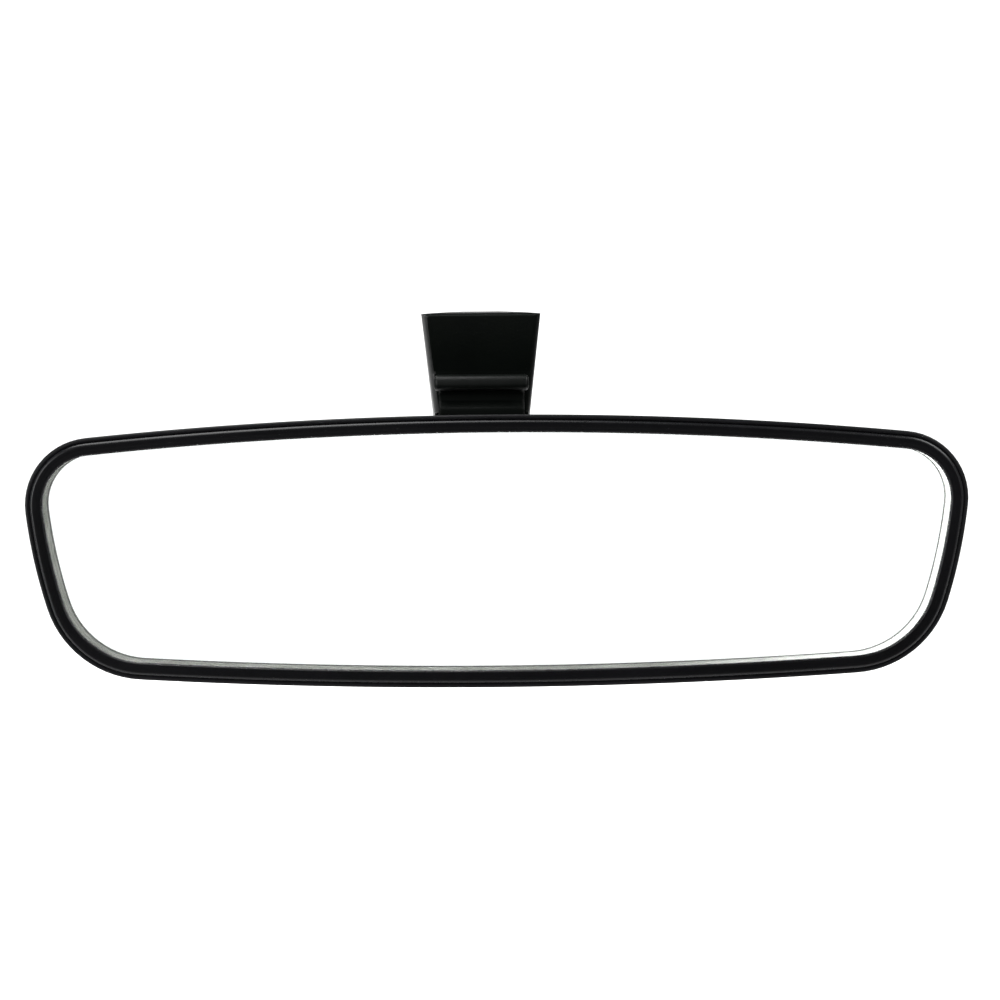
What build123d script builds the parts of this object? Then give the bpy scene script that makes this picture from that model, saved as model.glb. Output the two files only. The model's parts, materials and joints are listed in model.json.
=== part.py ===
"""Interior rearview mirror: a head on a ball joint, hung from a foot that slides on a windscreen button.

Millimetres. +X is the driver's right, -Y is where the glass faces, +Z is up. The origin is the centre
of the foot's pad plane, which lies on the windscreen.
"""
from build123d import *
import math
import os

os.makedirs("parts", exist_ok=True)

# ---------------------------------------------------------------- driving dimensions

# Head outline: eight tangent arcs, symmetric left to right, measured from the head's centre.
HALF_WIDTH = 125.7
HALF_HEIGHT = 36.4
WIDEST_Z = 26.0            # height where the sides stand furthest out
TOP_RADIUS = 1130.0
BOTTOM_RADIUS = 1520.0
SIDE_RADIUS = 140.0
TOP_CORNER = 18.0
BOTTOM_CORNER = 27.0

# Head place: centre of the bezel's front face, from the pad's centre. The ball is left of the middle.
HEAD_X = 4.0
HEAD_Y = -53.4
HEAD_Z = -48.6

# Depths behind the bezel's front face.
SHELL_FRONT = 0.9
SHELL_STEP = 3.2
SHELL_BACK = 25.0
BEZEL_BACK = 8.0
WALL = 2.0
LIP = 1.6
GLASS = 5.0
SILVER = 0.15
FILM = 0.3
FOAM = 1.0
CARRIER = 2.0
RIB = 3.0
GLASS_FRONT = LIP
SILVER_FRONT = GLASS_FRONT + GLASS
FILM_FRONT = SILVER_FRONT + SILVER
FOAM_FRONT = FILM_FRONT + FILM
CARRIER_FRONT = FOAM_FRONT + FOAM
CARRIER_BACK = CARRIER_FRONT + CARRIER
RIB_BACK = CARRIER_BACK + RIB

# Insets of the rear shell's skin from the head's outline, at each depth.
SHELL_OUTSIDE = [(SHELL_FRONT, 0), (6, 0.3), (12, 1.5), (18, 4.2), (22.5, 8), (SHELL_BACK, 12.8)]
SHELL_INSIDE = [(SHELL_STEP, 2), (BEZEL_BACK, 2.2), (12, 3.4), (17, 6.2), (20.8, 10),
                (SHELL_BACK - WALL, 13.8)]

# Insets from the head's outline.
RIM_INSET = 1.2
BEZEL_INSET = 1.35
BEZEL_WALL_INSET = 2.3
BEZEL_INNER_INSET = 4.1
GLASS_INSET = 4.4
RING_INSET = 4.7
SILVER_INSET = 4.6
FILM_INSET = 4.8
CARRIER_INSET = 5.0
CARRIER_RIM_INSET = 5.4
CARRIER_RIM = 1.6

# Foam pads and the carrier's ribs.
FOAM_COUNT = 3
FOAM_PITCH = 72.0
FOAM_WIDTH = 58.0
FOAM_HEIGHT = 34.0
FOAM_CORNER = 3.0
RIB_WIDTH = 1.4
RIB_COUNT = 5
RIB_PITCH = 38.0
RIB_HEIGHT = 58.0
LONG_RIB = 190.0
LONG_RIB_Z = (17, -20)
SOCKET_ROOM = (46, 32)

# Ball joint.
BALL_DEPTH = 26.0
BALL_HEIGHT = 3.0
STUD_LIFT = 35.0           # angle of the stud above the horizontal
BALL_R = 7.5
LINER_R = 8.95
SOCKET_R = 9.0
SOCKET_OUT_R = 11.2
DOME_IN_R = 11.5
DOME_R = 13.5
RUNNING = 0.05
APERTURE = 48.0            # half angle of the dome's opening
APERTURE_DEPTH = 25.0
DOME_DEPTH = 20.0
SOCKET_LIP = 52.0          # angle of the socket's edge from the stud's axis
SOCKET_MIDDLE = 70.0
SOCKET_EQUATOR = 90.0
LINER_ANGLES = (62, 100)
CUP_ANGLES = (122, 180)
STUD_NECK_R = 3.5
STUD_SHANK_R = 3.0
SCREW_X = 16.0
SPRING_BORE = 4.4
SPRING_R = 8.6
SPRING_SHEET = 0.5
SPRING_LEVELS = [(-8.05, -8.55), (-9.65, -9.15)]

# Foot: slope of the windscreen and depths below the pad plane.
RAKE = 40.0
PAD_TOP = -24.0
PAD_BOTTOM = 28.0
GASKET = 0.8
CHANNEL_DEPTH = 6.5
CHANNEL_FLOOR = 2.0
CHANNEL_HALF = 10.0
CHANNEL_TOP = -9.5
CHANNEL_END = 11.5
LIP_HALF = 7.8
FLANGE = 3.7
FOOT_FILLET = 2.6
FOOT_WALL = 2.0
CHEEK_X = 11.0             # the cheeks' long front edges lie beyond these
CHEEK_Y = -12.5
CHEEK_LENGTH = 5.0
MOUTH_MIDDLE = 25.0        # opening through the heel for the channel
MOUTH_LENGTH = 30.0
GASKET_BLANK = 100.0

# Screws.
SCREW_R = 1.6
SCREW_HEAD_R = 3.2
SCREW_HEAD_EDGE = 0.4
CARRIER_SCREW = 12.0
CARRIER_SCREW_HOLE = 8.0
BOSS_R = 4.2
EAR_R = 4.2
CARRIER_SCREWS = [(-92, 12), (92, 12), (-80, -18), (80, -18)]
SOCKET_SCREW_HEAD = 2.2
EAR_SCREW = 8.0
PLATE_SCREW_X = 6.0
PLATE_SCREW_R = 1.5
PLATE_SCREW_HEAD = 2.9
PLATE_SCREW = 5.2
PLATE_SCREW_HOLE = 5.0

# Places along the stud's axis from the ball's centre, against it for the retainer and with it for the arm.
EAR_TOP = 7.7
RETAINER_SEAT = 10.2
RETAINER_TOP = 12.2
RETAINER_R = 9.4
STUD_COLLAR = 13.0
COLLAR_R = 6.2
ARM_SEAT = 15.0
NUT_SEAT = 23.0
LOCK_WASHER = 1.3
LOCK_WASHER_R = 5.2
WASHER_SLIT = 0.6
NUT = 5.0
NUT_R = 5.77
STUD_END = 30.0
STUD_CHAMFER = 0.6
ARM_BOSS_R = 7.5
ARM_HALF = 6.0
ARM_ROUND = 1.5
ARM_FLANGE = (20, 10)
ARM_ROOT = 5.0             # half the column's depth where it meets the flange
ARM_SIDE = [(-11.2, -13), (-13.4, -21), (-18.8, -31.4), (-11.8, -34.7), (-12.5, -27.1), (-7, -20)]

# Foot's side view, (y, z), and its width: half width at z = 0, widening upwards and towards the windscreen.
FOOT_TOP = (-20.4, 14.4)
FOOT_KNEE = (-14.9, -1.6)
FOOT_TOE = (-13.4, -13.0)
FOOT_HEEL = (19.4, -18.9)
FOOT_HALF = 14.6
FOOT_DRAFT = 0.125
FOOT_FLARE = 2.0
FOOT_FRONT = -24.0
FOOT_REAR = 26.0
FOOT_UNDER = -22.0
CROWN_TOP = 15.5           # arched top: height in the middle and at the sides
CROWN_SIDE = 14.8
ARM_HOLE = (17, 10.6, 10)
ARM_HOLE_PLACE = (0, -7.5, -15)
CHANNEL_WALL = 1.5
CHANNEL_LIP_TOP = 1.2
PLATE_BACK = CHANNEL_DEPTH + CHANNEL_FLOOR
BEZEL_ROUND = 0.5
SPRING_HALF = 2.8
SPRING_ENDS = (-7, 8)
SPRING_BOW = 1.0
SPRING_STRIP = 0.5

# Neck cover's side view, (y, z), with the rounding of each corner, and its cheeks.
NECK_HALF = 13.25
NECK_WALL = 2.0
NECK_FOOT = -15.6
NECK_SIDE = [(-14.87, -2.2), (-20.6, -2.2), (-20.6, -6.4), (-16.9, -6.9), (-16.9, -9.4), (-19, -11.7),
             (-19, NECK_FOOT), (-17, NECK_FOOT), (-17, -13.2), (-13.5, -12.6)]
NECK_ROUNDS = [0.3, 2, 1.9, 1.5, 1.1, 1.6, 0.6, 0.6, 1, 0.3]
NECK_CHEEK = [(-18, NECK_FOOT), (-18, -13.4), (-14.2, -13.5), (-12, NECK_FOOT)]
WAIST_HALF = 12.0
WAIST_TOP = -7.0
NECK_PEG_R = 1.4
NECK_PEG_X = 9.5
NECK_PEG_Z = -8.5
NECK_PEG_ROOT = -15.0
NECK_PEG_TIP = -11.0

# ---------------------------------------------------------------- reference planes

SIN_RAKE = math.sin(math.radians(RAKE))
COS_RAKE = math.cos(math.radians(RAKE))
SIN_LIFT = math.sin(math.radians(STUD_LIFT))
COS_LIFT = math.cos(math.radians(STUD_LIFT))
BALL = (0, HEAD_Y + BALL_DEPTH, HEAD_Z + BALL_HEIGHT)
STUD_AXIS = (0, COS_LIFT, SIN_LIFT)


def head_plane(depth):
    """Plane parallel to the glass, depth behind the bezel's front face. Its normal faces the driver."""
    return Plane(origin=(HEAD_X, HEAD_Y + depth, HEAD_Z), x_dir=(1, 0, 0), z_dir=(0, -1, 0))


def stud_plane(along):
    """Plane across the stud's axis, along from the ball's centre. Its normal points out of the socket."""
    origin = (0, BALL[1] + along * COS_LIFT, BALL[2] + along * SIN_LIFT)
    return Plane(origin=origin, x_dir=(1, 0, 0), z_dir=STUD_AXIS)


def pad_plane(depth):
    """Plane parallel to the windscreen, depth below the pad. Its normal points at the windscreen."""
    origin = (0, -depth * SIN_RAKE, -depth * COS_RAKE)
    return Plane(origin=origin, x_dir=(1, 0, 0), z_dir=(0, SIN_RAKE, COS_RAKE))


def pad_point(down, depth):
    """(y, z) of the point down the windscreen from the pad's centre and depth below the pad plane."""
    return (down * COS_RAKE - depth * SIN_RAKE, -down * SIN_RAKE - depth * COS_RAKE)


# ---------------------------------------------------------------- head outline


def crossing(first, first_radius, second, second_radius, upper):
    """The upper or the lower crossing of two circles."""
    gap = math.dist(first, second)
    along = (first_radius**2 - second_radius**2 + gap**2) / (2 * gap)
    off = math.sqrt(first_radius**2 - along**2)
    ux, uy = (second[0] - first[0]) / gap, (second[1] - first[1]) / gap
    points = [(first[0] + along * ux - side * off * uy, first[1] + along * uy + side * off * ux)
              for side in (1, -1)]
    return max(points, key=lambda p: p[1]) if upper else min(points, key=lambda p: p[1])


def angle(centre, point):
    """Direction from centre to point, in degrees."""
    return math.degrees(math.atan2(point[1] - centre[1], point[0] - centre[0]))


def head_outline(inset):
    """Face bounded by the head's outline moved inwards by inset."""
    top = (0, HALF_HEIGHT - TOP_RADIUS)
    bottom = (0, BOTTOM_RADIUS - HALF_HEIGHT)
    side = (HALF_WIDTH - SIDE_RADIUS, WIDEST_Z)
    upper = crossing(top, TOP_RADIUS - TOP_CORNER, side, SIDE_RADIUS - TOP_CORNER, True)
    lower = crossing(bottom, BOTTOM_RADIUS - BOTTOM_CORNER, side, SIDE_RADIUS - BOTTOM_CORNER, False)
    turns = [angle(top, upper), angle(side, upper), angle(side, lower), angle(bottom, lower)]
    right = [(upper, TOP_CORNER, turns[1], turns[0]),
             (side, SIDE_RADIUS, turns[2], turns[1]),
             (lower, BOTTOM_CORNER, turns[3], turns[2])]
    with BuildSketch(Plane.XY) as outline:
        with BuildLine():
            CenterArc(top, TOP_RADIUS - inset, turns[0], 180 - 2 * turns[0])
            CenterArc(bottom, BOTTOM_RADIUS - inset, turns[3], -180 - 2 * turns[3])
            for centre, radius, start, end in right:
                CenterArc(centre, radius - inset, start, end - start)
                CenterArc((-centre[0], centre[1]), radius - inset, 180 - end, end - start)
        make_face()
    return outline.sketch


def head_slab(name, inset, front, thickness):
    """Flat plate with the head's outline, saved under its name."""
    with BuildPart() as slab:
        with BuildSketch(head_plane(front)):
            add(head_outline(inset))
        extrude(amount=-thickness)
    save(slab.part, name)


def save(part, name):
    """Label a finished piece and write its file."""
    part.label = name
    export_step(part, f"parts/{name}.step")


def screw(plane, head_r, head_h, shank_r, length, sunk=False):
    """Cross-recess screw. The plane lies on top of its head; the shank points against the normal."""
    with BuildPart() as item:
        with BuildSketch(plane):
            Circle(head_r)
        if sunk:
            with BuildSketch(plane.offset(-head_h)):
                Circle(shank_r)
            loft()
        else:
            extrude(amount=-head_h)
            fillet(item.faces().sort_by(Axis(plane.origin, plane.z_dir))[-1].edges(), SCREW_HEAD_EDGE)
        with BuildSketch(plane.offset(-head_h)):
            Circle(shank_r)
        extrude(amount=head_h - length)
        with BuildSketch(plane):
            Rectangle(head_r * 1.1, head_r * 0.28)
            Rectangle(head_r * 0.28, head_r * 1.1)
        extrude(amount=-0.7 * head_h, mode=Mode.SUBTRACT)
    return item.part


# ---------------------------------------------------------------- glass and what lies behind it

with BuildPart() as mirror_glass:
    with BuildSketch(head_plane(GLASS_FRONT)):
        add(head_outline(GLASS_INSET))
    extrude(amount=-GLASS)
save(mirror_glass.part, "mirror_glass")

head_slab("silvering", SILVER_INSET, SILVER_FRONT, SILVER)
head_slab("safety_film", FILM_INSET, FILM_FRONT, FILM)

with BuildPart() as foam_pads:
    with BuildSketch(head_plane(FOAM_FRONT)):
        with GridLocations(FOAM_PITCH, 0, FOAM_COUNT, 1):
            RectangleRounded(FOAM_WIDTH, FOAM_HEIGHT, FOAM_CORNER)
    extrude(amount=-FOAM)
save(foam_pads.part, "foam_pads")

with BuildPart() as glass_carrier:
    with BuildSketch(head_plane(CARRIER_FRONT)):
        add(head_outline(CARRIER_INSET))
    extrude(amount=-CARRIER)
    with BuildSketch(head_plane(CARRIER_BACK)):
        add(head_outline(CARRIER_RIM_INSET))
        add(head_outline(CARRIER_RIM_INSET + CARRIER_RIM), mode=Mode.SUBTRACT)
        with GridLocations(RIB_PITCH, 0, RIB_COUNT, 1):
            Rectangle(RIB_WIDTH, RIB_HEIGHT)
        for z in LONG_RIB_Z:
            with Locations((0, z)):
                Rectangle(LONG_RIB, RIB_WIDTH)
        with Locations(*CARRIER_SCREWS):
            Circle(BOSS_R)
        with Locations((-HEAD_X, 0)):
            Rectangle(*SOCKET_ROOM, mode=Mode.SUBTRACT)
    extrude(amount=-RIB)
    with Locations(head_plane(CARRIER_FRONT)):
        with Locations(*CARRIER_SCREWS):
            CounterSinkHole(SCREW_R, SCREW_HEAD_R, depth=CARRIER + RIB + 1, counter_sink_angle=90)
save(glass_carrier.part, "glass_carrier")

with BuildPart() as carrier_screws:
    for x, z in CARRIER_SCREWS:
        centre = head_plane(CARRIER_FRONT).from_local_coords((x, z, 0))
        top = Plane(origin=centre, x_dir=(1, 0, 0), z_dir=(0, -1, 0))
        add(screw(top, SCREW_HEAD_R, SCREW_HEAD_R - SCREW_R, SCREW_R, CARRIER_SCREW, sunk=True))
save(carrier_screws.part, "carrier_screws")

# ---------------------------------------------------------------- bezel and rear shell

with BuildPart() as front_bezel:
    with BuildSketch(head_plane(0)):
        add(head_outline(BEZEL_INSET))
        add(head_outline(RING_INSET), mode=Mode.SUBTRACT)
    extrude(amount=-LIP)
    with BuildSketch(head_plane(LIP)):
        add(head_outline(BEZEL_INSET))
        add(head_outline(BEZEL_INNER_INSET), mode=Mode.SUBTRACT)
    extrude(amount=LIP - SHELL_STEP)
    with BuildSketch(head_plane(SHELL_STEP)):
        add(head_outline(BEZEL_WALL_INSET))
        add(head_outline(BEZEL_INNER_INSET), mode=Mode.SUBTRACT)
    extrude(amount=SHELL_STEP - BEZEL_BACK)
    fillet(front_bezel.faces().sort_by(Axis.Y)[0].outer_wire().edges(), BEZEL_ROUND)
save(front_bezel.part, "front_bezel")


def pillow(sections):
    """Crowned solid through the head's outline at each (depth, inset)."""
    with BuildPart() as solid:
        for depth, inset in sections:
            with BuildSketch(head_plane(depth)):
                add(head_outline(inset))
        loft()
    return solid.part


shell_outside = pillow(SHELL_OUTSIDE)
shell_inside = pillow(SHELL_INSIDE)

with BuildPart() as bosses:
    with BuildSketch(stud_plane(-EAR_TOP)):
        with Locations((SCREW_X, 0), (-SCREW_X, 0)):
            Circle(EAR_R)
    extrude(amount=EAR_TOP)
    with BuildSketch(head_plane(RIB_BACK)):
        with Locations(*CARRIER_SCREWS):
            Circle(BOSS_R)
    extrude(amount=-SHELL_BACK)
    add(shell_outside, mode=Mode.INTERSECT)

with BuildPart() as dome:
    with Locations(Location(BALL)):
        Sphere(DOME_R)
    with BuildSketch(stud_plane(0)):
        Circle(DOME_R)
    extrude(amount=-DOME_DEPTH)
    with BuildSketch(head_plane(SHELL_BACK - WALL)):
        Rectangle(4 * DOME_R, 4 * DOME_R)
    extrude(amount=-2 * SHELL_BACK, mode=Mode.INTERSECT)

with BuildPart() as rear_shell:
    add(shell_outside)
    add(shell_inside, mode=Mode.SUBTRACT)
    with BuildSketch(head_plane(SHELL_FRONT)):
        add(head_outline(RIM_INSET))
    extrude(amount=SHELL_FRONT - SHELL_STEP, mode=Mode.SUBTRACT)
    add(dome.part)
    add(bosses.part)
    with Locations(Location(BALL)):
        Sphere(DOME_IN_R, mode=Mode.SUBTRACT)
    with BuildSketch(stud_plane(0)):
        Circle(DOME_IN_R)
    extrude(amount=-DOME_DEPTH, mode=Mode.SUBTRACT)
    with Locations(stud_plane(0)):
        Cone(0.01, APERTURE_DEPTH * math.tan(math.radians(APERTURE)), APERTURE_DEPTH,
             align=(Align.CENTER, Align.CENTER, Align.MIN), mode=Mode.SUBTRACT)
    with BuildSketch(stud_plane(-EAR_TOP)):
        with Locations((SCREW_X, 0), (-SCREW_X, 0)):
            Circle(SCREW_R)
    extrude(amount=EAR_SCREW - RETAINER_TOP + EAR_TOP, mode=Mode.SUBTRACT)
    with BuildSketch(head_plane(RIB_BACK)):
        with Locations(*CARRIER_SCREWS):
            Circle(SCREW_R)
    extrude(amount=-CARRIER_SCREW_HOLE, mode=Mode.SUBTRACT)
save(rear_shell.part, "rear_shell")

# ---------------------------------------------------------------- ball joint, on the stud's axis


def polar(radius, degrees):
    """(r, along) of a point on a sphere, degrees from the stud's axis."""
    return (radius * math.sin(math.radians(degrees)), radius * math.cos(math.radians(degrees)))


def section_plane():
    """Plane through the stud's axis: local x is +X and local y runs out along the axis."""
    return Plane(origin=BALL, x_dir=(1, 0, 0), z_dir=(0, -SIN_LIFT, COS_LIFT))


def spherical_band(name, inner, outer, start, end):
    """Ring cut from a hollow sphere between two angles from the stud's axis."""
    middle = (start + end) / 2
    with BuildPart() as band:
        with BuildSketch(section_plane()):
            with BuildLine():
                ThreePointArc(polar(inner, start), polar(inner, middle), polar(inner, end))
                Line(polar(inner, end), polar(outer, end))
                ThreePointArc(polar(outer, end), polar(outer, middle), polar(outer, start))
                Line(polar(outer, start), polar(inner, start))
            make_face()
        revolve(axis=Axis(BALL, STUD_AXIS))
    save(band.part, name)


spherical_band("ball_liner", BALL_R + RUNNING, LINER_R, *LINER_ANGLES)
spherical_band("pressure_cup", BALL_R + RUNNING, LINER_R, *CUP_ANGLES)

with BuildPart() as ball_socket:
    with BuildSketch(section_plane()):
        with BuildLine():
            ThreePointArc(polar(SOCKET_R, SOCKET_LIP), polar(SOCKET_R, SOCKET_MIDDLE),
                          polar(SOCKET_R, SOCKET_EQUATOR))
            Line(polar(SOCKET_R, SOCKET_EQUATOR), (SOCKET_R, -RETAINER_SEAT))
            Line((SOCKET_R, -RETAINER_SEAT), (SOCKET_OUT_R, -RETAINER_SEAT))
            Line((SOCKET_OUT_R, -RETAINER_SEAT), polar(SOCKET_OUT_R, SOCKET_EQUATOR))
            ThreePointArc(polar(SOCKET_OUT_R, SOCKET_EQUATOR), polar(SOCKET_OUT_R, SOCKET_MIDDLE),
                          polar(SOCKET_OUT_R, SOCKET_LIP))
            Line(polar(SOCKET_OUT_R, SOCKET_LIP), polar(SOCKET_R, SOCKET_LIP))
        make_face()
    revolve(axis=Axis(BALL, STUD_AXIS))
    with BuildSketch(stud_plane(-RETAINER_SEAT)):
        SlotCenterToCenter(2 * SCREW_X, 2 * EAR_R)
        Circle(SOCKET_R, mode=Mode.SUBTRACT)
        with Locations((SCREW_X, 0), (-SCREW_X, 0)):
            Circle(SCREW_R, mode=Mode.SUBTRACT)
    extrude(amount=RETAINER_SEAT - EAR_TOP)
save(ball_socket.part, "ball_socket")

with BuildPart() as disc_springs:
    for inner_at, outer_at in SPRING_LEVELS:
        with BuildSketch(section_plane()):
            Polygon((SPRING_BORE, inner_at), (SPRING_R, outer_at), (SPRING_R, outer_at - SPRING_SHEET),
                    (SPRING_BORE, inner_at - SPRING_SHEET), align=None)
        revolve(axis=Axis(BALL, STUD_AXIS))
save(disc_springs.part, "disc_springs")

with BuildPart() as spring_retainer:
    with BuildSketch(stud_plane(-RETAINER_SEAT)):
        SlotCenterToCenter(2 * SCREW_X, 2 * EAR_R)
        Circle(RETAINER_R)
        with Locations((SCREW_X, 0), (-SCREW_X, 0)):
            Circle(SCREW_R, mode=Mode.SUBTRACT)
    extrude(amount=RETAINER_SEAT - RETAINER_TOP)
save(spring_retainer.part, "spring_retainer")

with BuildPart() as socket_screws:
    for x in (SCREW_X, -SCREW_X):
        foot = stud_plane(-RETAINER_TOP - SOCKET_SCREW_HEAD)
        top = Plane(origin=foot.origin + Vector(x, 0, 0), x_dir=(1, 0, 0), z_dir=-foot.z_dir)
        add(screw(top, SCREW_HEAD_R, SOCKET_SCREW_HEAD, SCREW_R, SOCKET_SCREW_HEAD + EAR_SCREW))
save(socket_screws.part, "socket_screws")

with BuildPart() as ball_stud:
    with Locations(Location(BALL)):
        Sphere(BALL_R)
    with BuildSketch(stud_plane(0)):
        Circle(STUD_NECK_R)
    extrude(amount=STUD_COLLAR)
    with BuildSketch(stud_plane(STUD_COLLAR)):
        RegularPolygon(COLLAR_R, 6)
    extrude(amount=ARM_SEAT - STUD_COLLAR)
    with BuildSketch(stud_plane(ARM_SEAT)):
        Circle(STUD_SHANK_R)
    extrude(amount=STUD_END - ARM_SEAT)
    chamfer(ball_stud.faces().sort_by(Axis(BALL, STUD_AXIS))[-1].edges(), STUD_CHAMFER)
save(ball_stud.part, "ball_stud")

with BuildPart() as lock_washer:
    with BuildSketch(stud_plane(NUT_SEAT)):
        Circle(LOCK_WASHER_R)
        Circle(STUD_SHANK_R, mode=Mode.SUBTRACT)
        with Locations((0, LOCK_WASHER_R)):
            Rectangle(WASHER_SLIT, LOCK_WASHER_R, mode=Mode.SUBTRACT)
    extrude(amount=LOCK_WASHER)
save(lock_washer.part, "lock_washer")

with BuildPart() as stud_nut:
    with BuildSketch(stud_plane(NUT_SEAT + LOCK_WASHER)):
        RegularPolygon(NUT_R, 6)
        Circle(STUD_SHANK_R, mode=Mode.SUBTRACT)
    extrude(amount=NUT)
save(stud_nut.part, "stud_nut")

# ---------------------------------------------------------------- arm

with BuildPart() as arm:
    with BuildSketch(Plane.YZ):
        Polygon(pad_point(-ARM_ROOT, PLATE_BACK + 1), pad_point(-ARM_ROOT, PLATE_BACK + FLANGE),
                *ARM_SIDE, pad_point(ARM_ROOT, PLATE_BACK + FLANGE),
                pad_point(ARM_ROOT, PLATE_BACK + 1), align=None)
    extrude(amount=ARM_HALF, both=True)
    column = [e for e in arm.edges() if abs(e.center().X) > 1 and e.center().Z < ARM_SIDE[0][1]]
    fillet(column, ARM_ROUND)
    with BuildSketch(pad_plane(PLATE_BACK + FLANGE)):
        Rectangle(*ARM_FLANGE)
    extrude(amount=FLANGE)
    with BuildSketch(stud_plane(ARM_SEAT)):
        Circle(ARM_BOSS_R)
    extrude(amount=NUT_SEAT - ARM_SEAT)
    with BuildSketch(stud_plane(ARM_SEAT)):
        Circle(STUD_SHANK_R)
    extrude(amount=NUT_SEAT - ARM_SEAT, mode=Mode.SUBTRACT)
    with BuildSketch(pad_plane(PLATE_BACK)):
        with Locations((PLATE_SCREW_X, 0), (-PLATE_SCREW_X, 0)):
            Circle(PLATE_SCREW_R)
    extrude(amount=-(PLATE_SCREW - CHANNEL_FLOOR), mode=Mode.SUBTRACT)
save(arm.part, "arm")

# ---------------------------------------------------------------- foot


def foot_block(pad_depth, shrink):
    """The foot's block up to pad_depth below the pad plane, its other faces moved inwards by shrink."""
    top = CROWN_SIDE - shrink
    with BuildPart() as block:
        for y, flare in ((FOOT_FRONT, 0), (FOOT_REAR, FOOT_FLARE)):
            wide = FOOT_HALF + FOOT_DRAFT * top + flare - shrink
            narrow = FOOT_HALF + FOOT_DRAFT * FOOT_UNDER + flare - shrink
            with BuildSketch(Plane.XZ.offset(-y)):
                with BuildLine():
                    ThreePointArc((-wide, top), (0, CROWN_TOP - shrink), (wide, top))
                    Polyline((wide, top), (narrow, FOOT_UNDER), (-narrow, FOOT_UNDER), (-wide, top))
                make_face()
        loft()
        with BuildSketch(Plane.YZ):
            Polygon(FOOT_TOP, pad_point(PAD_TOP, pad_depth), pad_point(PAD_BOTTOM, pad_depth),
                    FOOT_HEEL, FOOT_TOE, FOOT_KNEE, align=None)
            if shrink:
                offset(amount=-shrink, kind=Kind.INTERSECTION)
        extrude(amount=2 * FOOT_HALF, both=True, mode=Mode.INTERSECT)
    return block.part


foot_inside = foot_block(-6, FOOT_WALL)

with BuildPart() as mouth:
    with BuildSketch(pad_plane(CHANNEL_DEPTH)):
        with Locations((0, MOUTH_MIDDLE)):
            Rectangle(2 * CHANNEL_HALF + 1, MOUTH_LENGTH)
    extrude(amount=CHANNEL_DEPTH + 1)

with BuildPart() as foot_housing:
    add(foot_block(GASKET, 0))
    cheeks = [e for e in foot_housing.edges()
              if abs(e.center().X) > CHEEK_X and e.center().Y < CHEEK_Y and e.length > CHEEK_LENGTH]
    fillet(cheeks, FOOT_FILLET)
    add(foot_inside, mode=Mode.SUBTRACT)
    add(mouth.part, mode=Mode.SUBTRACT)
    with Locations(ARM_HOLE_PLACE):
        Box(*ARM_HOLE, mode=Mode.SUBTRACT)
    with BuildSketch(Plane.XZ.offset(-NECK_PEG_TIP)):
        with Locations((NECK_PEG_X, NECK_PEG_Z), (-NECK_PEG_X, NECK_PEG_Z)):
            Circle(NECK_PEG_R + RUNNING)
    extrude(amount=NECK_PEG_TIP - NECK_PEG_ROOT, mode=Mode.SUBTRACT)
save(foot_housing.part, "foot_housing")

with BuildPart() as mount_gasket:
    add(foot_block(0, 0))
    add(foot_inside, mode=Mode.SUBTRACT)
    add(mouth.part, mode=Mode.SUBTRACT)
    with BuildSketch(pad_plane(GASKET)):
        Rectangle(GASKET_BLANK, GASKET_BLANK)
    extrude(amount=GASKET, mode=Mode.INTERSECT)
save(mount_gasket.part, "mount_gasket")

with BuildPart() as neck_cover:
    with BuildSketch(Plane.YZ):
        with BuildLine():
            FilletPolyline(*NECK_SIDE, radius=NECK_ROUNDS, close=True)
        make_face()
    extrude(amount=NECK_HALF, both=True)
    with BuildSketch(Plane.XZ.offset(-NECK_SIDE[0][0])):
        for side in (1, -1):
            with Locations((side * NECK_HALF, WAIST_TOP)):
                Rectangle(2 * (NECK_HALF - WAIST_HALF), -2 * NECK_FOOT, align=(Align.CENTER, Align.MAX))
    extrude(amount=2 * FOOT_HALF, both=True, mode=Mode.SUBTRACT)
    for side in (1, -1):
        with BuildSketch(Plane.YZ.offset(side * WAIST_HALF)):
            Polygon(*NECK_CHEEK, align=None)
        extrude(amount=-side * NECK_WALL)
    with BuildSketch(Plane.XZ.offset(-NECK_PEG_TIP)):
        with Locations((NECK_PEG_X, NECK_PEG_Z), (-NECK_PEG_X, NECK_PEG_Z)):
            Circle(NECK_PEG_R)
    extrude(amount=NECK_PEG_TIP - NECK_PEG_ROOT)
save(neck_cover.part, "neck_cover")

with BuildPart() as channel_plate:
    middle = (CHANNEL_TOP + CHANNEL_END) / 2
    long = CHANNEL_END - CHANNEL_TOP
    wide = 2 * (CHANNEL_HALF + CHANNEL_WALL)
    with BuildSketch(pad_plane(PLATE_BACK)):
        with Locations((0, middle)):
            Rectangle(wide, long)
    extrude(amount=PLATE_BACK - CHANNEL_LIP_TOP)
    with BuildSketch(pad_plane(CHANNEL_DEPTH)):
        with Locations((0, middle + CHANNEL_WALL)):
            Rectangle(2 * CHANNEL_HALF, long)
    extrude(amount=CHANNEL_DEPTH - CHANNEL_LIP_TOP - CHANNEL_WALL, mode=Mode.SUBTRACT)
    with BuildSketch(pad_plane(CHANNEL_DEPTH)):
        with Locations((0, middle)):
            Rectangle(2 * LIP_HALF, long)
    extrude(amount=CHANNEL_DEPTH, mode=Mode.SUBTRACT)
    with Locations(pad_plane(CHANNEL_DEPTH)):
        with Locations((PLATE_SCREW_X, 0), (-PLATE_SCREW_X, 0)):
            CounterSinkHole(PLATE_SCREW_R, PLATE_SCREW_HEAD, depth=PLATE_SCREW_HOLE,
                            counter_sink_angle=90)
save(channel_plate.part, "channel_plate")

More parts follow.
